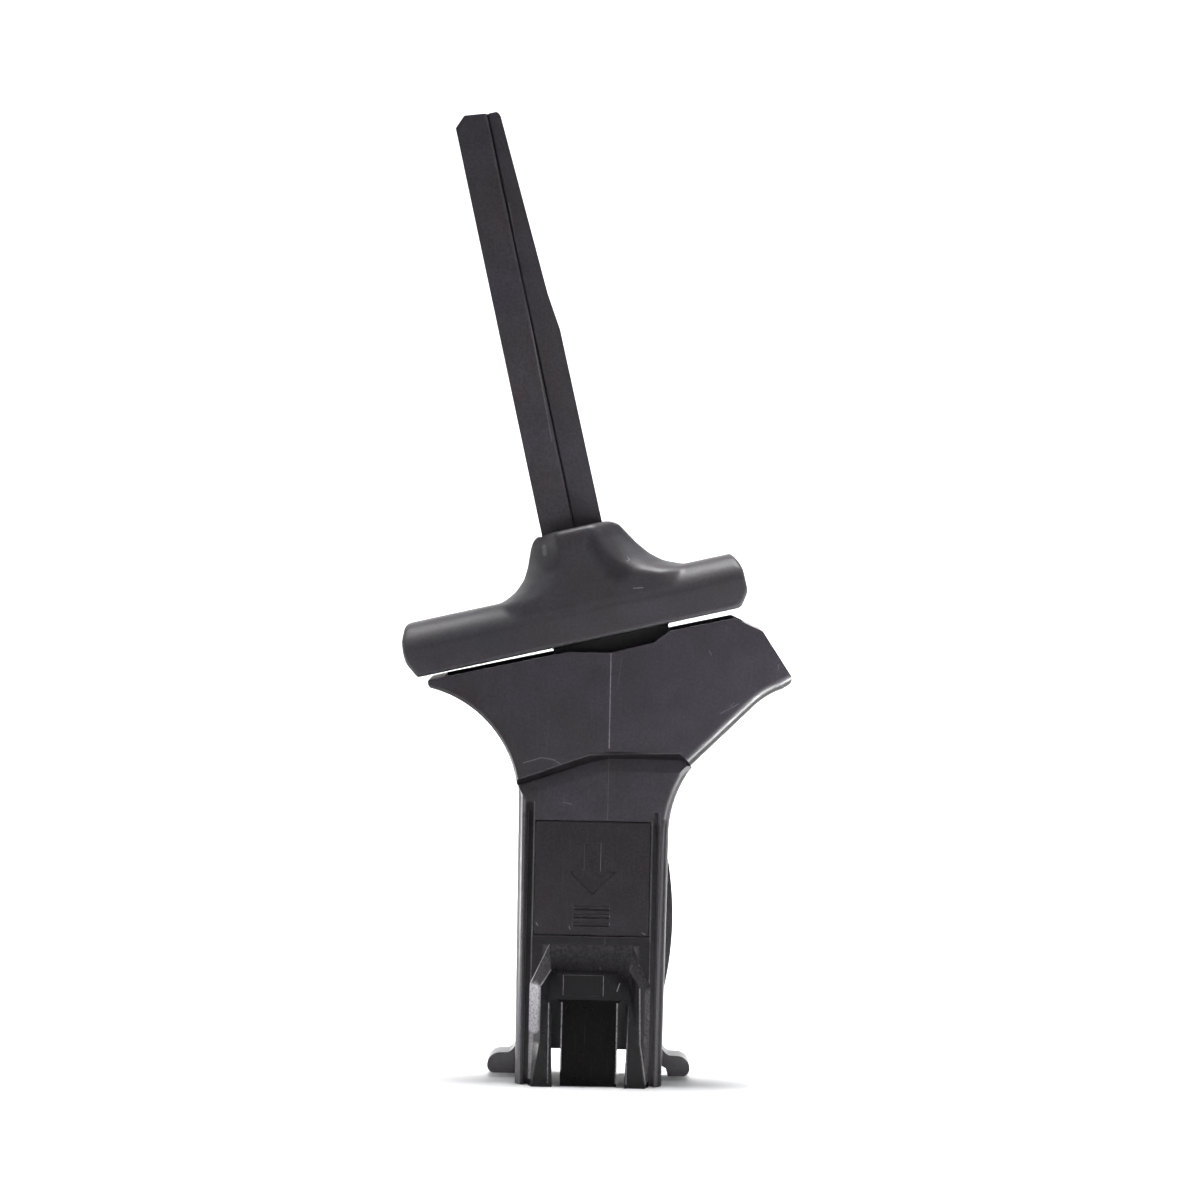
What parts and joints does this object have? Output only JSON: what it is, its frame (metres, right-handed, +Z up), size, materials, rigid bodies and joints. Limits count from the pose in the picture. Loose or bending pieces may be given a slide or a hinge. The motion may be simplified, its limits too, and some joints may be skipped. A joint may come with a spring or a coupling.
{
  "type": "cartridge magazine loader",
  "caption": "Moulded hand tool that fills a single-stack magazine: flared hopper, column with magazine well, and T-handled plunger parked upside down on top.",
  "frame": {"origin": "centre of the magazine well's mouth, in the plane that the loader stands on", "axes": "+Z up the column, +X along the magazine's front-to-back line, the hood and tongue on the -Y side"},
  "size_m": [0.091, 0.022, 0.2273],
  "materials": {
    "body_plastic": "satin black moulded plastic with a fine texture",
    "panel_plastic": "satin black",
    "hood_plastic": "semi-gloss black",
    "grip_plastic": "satin black with a fine texture",
    "blade_plastic": "satin black"
  },
  "bodies": {
    "loader_body": {"body_left_half": "body_plastic", "body_right_half": "body_plastic", "front_panel": "panel_plastic", "magwell_hood": "hood_plastic", "side_bow": "body_plastic"},
    "tongue": {"mag_tongue": "hood_plastic"},
    "plunger": {"grip_shell": "grip_plastic", "palm_cap": "grip_plastic", "plunger_blade": "blade_plastic"}
  },
  "joints": [
    {"name": "plunger_lift", "type": "slide", "parent": "loader_body", "child": "plunger", "axis": [-0.2317, 0, 0.9728], "range_m": [0, 0.03]},
    {"name": "tongue_flex", "type": "hinge", "parent": "loader_body", "child": "tongue", "pos_m": [0, -0.009, 0.0201], "axis": [-1, 0, 0], "range_deg": [-1, 5], "stiffness_Nm_per_rad": 0.8}
  ]
}
